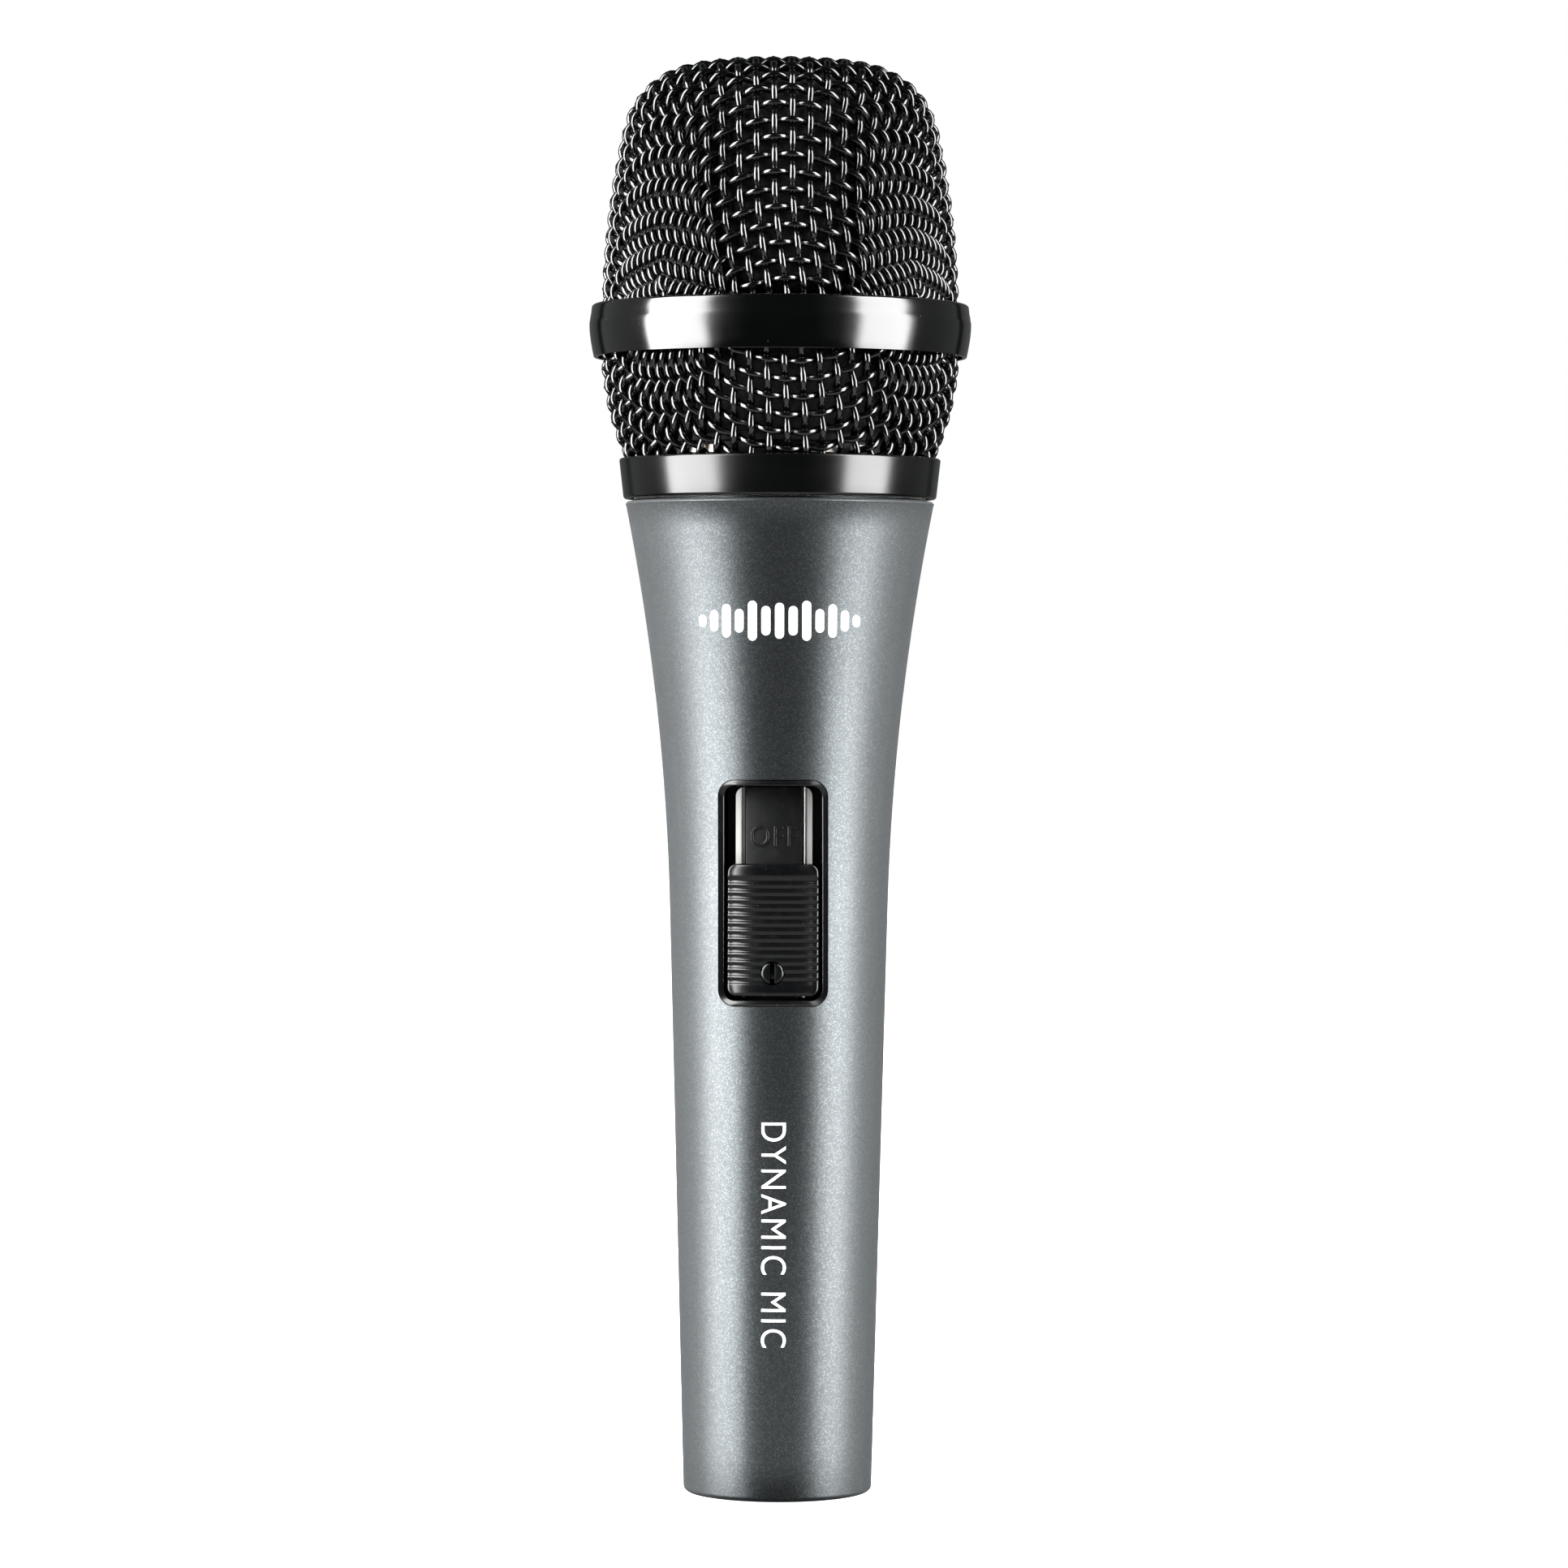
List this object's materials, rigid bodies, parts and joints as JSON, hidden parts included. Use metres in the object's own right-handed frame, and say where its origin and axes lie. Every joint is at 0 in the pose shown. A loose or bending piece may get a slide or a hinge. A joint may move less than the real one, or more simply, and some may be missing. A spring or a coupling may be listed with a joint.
{
  "type": "dynamic microphone",
  "caption": "Handheld moving-coil microphone with a tapered metal handle, a slide switch, a screw-on woven wire grille and a plug socket in its tail.",
  "frame": {"origin": "centre of the tail face, which the microphone stands on", "axes": "+Z along the handle's axis from the tail to the grille, -Y out of the switch"},
  "size_m": [0.048, 0.048, 0.18],
  "materials": {
    "handle_paint": "satin dark grey metallic enamel",
    "black_plastic": "moulded black plastic",
    "gloss_black": "gloss black enamel",
    "dark_steel": "plain steel",
    "bright_nickel": "bright nickel plate",
    "brass": "plain brass",
    "circuit_board": "green glass-fibre board",
    "foam": "open-cell black foam",
    "rubber": "soft black rubber",
    "bronze": "spring bronze",
    "felt": "grey felt",
    "film": "thin plastic film",
    "copper": "enamelled copper winding",
    "black_wire": "gloss black enamel on woven steel wire",
    "nylon": "white nylon",
    "red_wire": "red insulation",
    "white_wire": "white insulation",
    "black_insulation": "black insulation",
    "bare_wire": "tinned bare wire"
  },
  "bodies": {
    "handle": {"handle_shell": "handle_paint", "switch_bezel": "black_plastic", "switch_bracket": "bright_nickel", "label_strip": "black_plastic", "switch_board": "circuit_board", "spacer_lower": "brass", "spacer_upper": "brass", "bracket_screw_lower": "dark_steel", "bracket_screw_upper": "dark_steel", "xlr_insert": "black_plastic", "xlr_pin_1": "bright_nickel", "xlr_pin_2": "bright_nickel", "xlr_pin_3": "bright_nickel", "xlr_set_screw": "dark_steel", "ground_tab": "bronze", "shock_mount": "rubber", "neck_seal": "foam", "capsule_housing": "black_plastic", "capsule_front_cap": "black_plastic", "capsule_screen": "foam", "diaphragm_ring": "brass", "top_plate": "dark_steel", "magnet": "bright_nickel", "yoke_cup": "dark_steel", "magnet_carrier": "black_plastic", "felt_ring": "felt", "rear_chamber": "black_plastic", "terminal_board": "circuit_board", "solder_lug_hot": "brass", "solder_lug_cold": "brass", "capsule_wire_hot": "red_wire", "capsule_wire_cold": "black_insulation", "output_wire_ground": "bare_wire", "output_wire_hot": "red_wire", "output_wire_cold": "white_wire"},
    "slider": {"slider_cap": "black_plastic", "slide_carriage": "black_plastic", "contact_wiper": "bronze"},
    "lock_screw": {"lock_screw": "dark_steel"},
    "washer": {"collar_washer": "nylon"},
    "grille_head": {"upper_mesh": "black_wire", "lower_mesh": "black_wire", "ring_band": "gloss_black", "joining_hoop": "dark_steel", "collar": "gloss_black", "thread_insert": "brass", "foam_cap": "foam", "foam_band": "foam"},
    "coil": {"voice_coil": "copper", "diaphragm": "film"}
  },
  "joints": [
    {"name": "switch_slide", "type": "slide", "parent": "handle", "child": "slider", "axis": [0, 0, 1], "range_m": [0, 0.009]},
    {"name": "lock_turn", "type": "hinge", "parent": "slider", "child": "lock_screw", "pos_m": [0, -0.012, 0.0659], "axis": [0, -1, 0], "range_deg": [0, 90]},
    {"name": "grille_rise", "type": "slide", "parent": "handle", "child": "washer", "axis": [0, 0, 1], "range_m": [0, 0.005]},
    {"name": "grille_turn", "type": "hinge", "parent": "washer", "child": "grille_head", "pos_m": [0, 0, 0.1251], "axis": [0, 0, 1], "range_deg": [0, 1800]},
    {"name": "coil_travel", "type": "slide", "parent": "handle", "child": "coil", "axis": [0, 0, 1], "range_m": [-0.0003, 0.0003], "stiffness_N_per_m": 130}
  ],
  "couplings": [
    {"joint": "grille_rise", "follows": "grille_turn", "m_per_rad": 0.00015915}
  ]
}
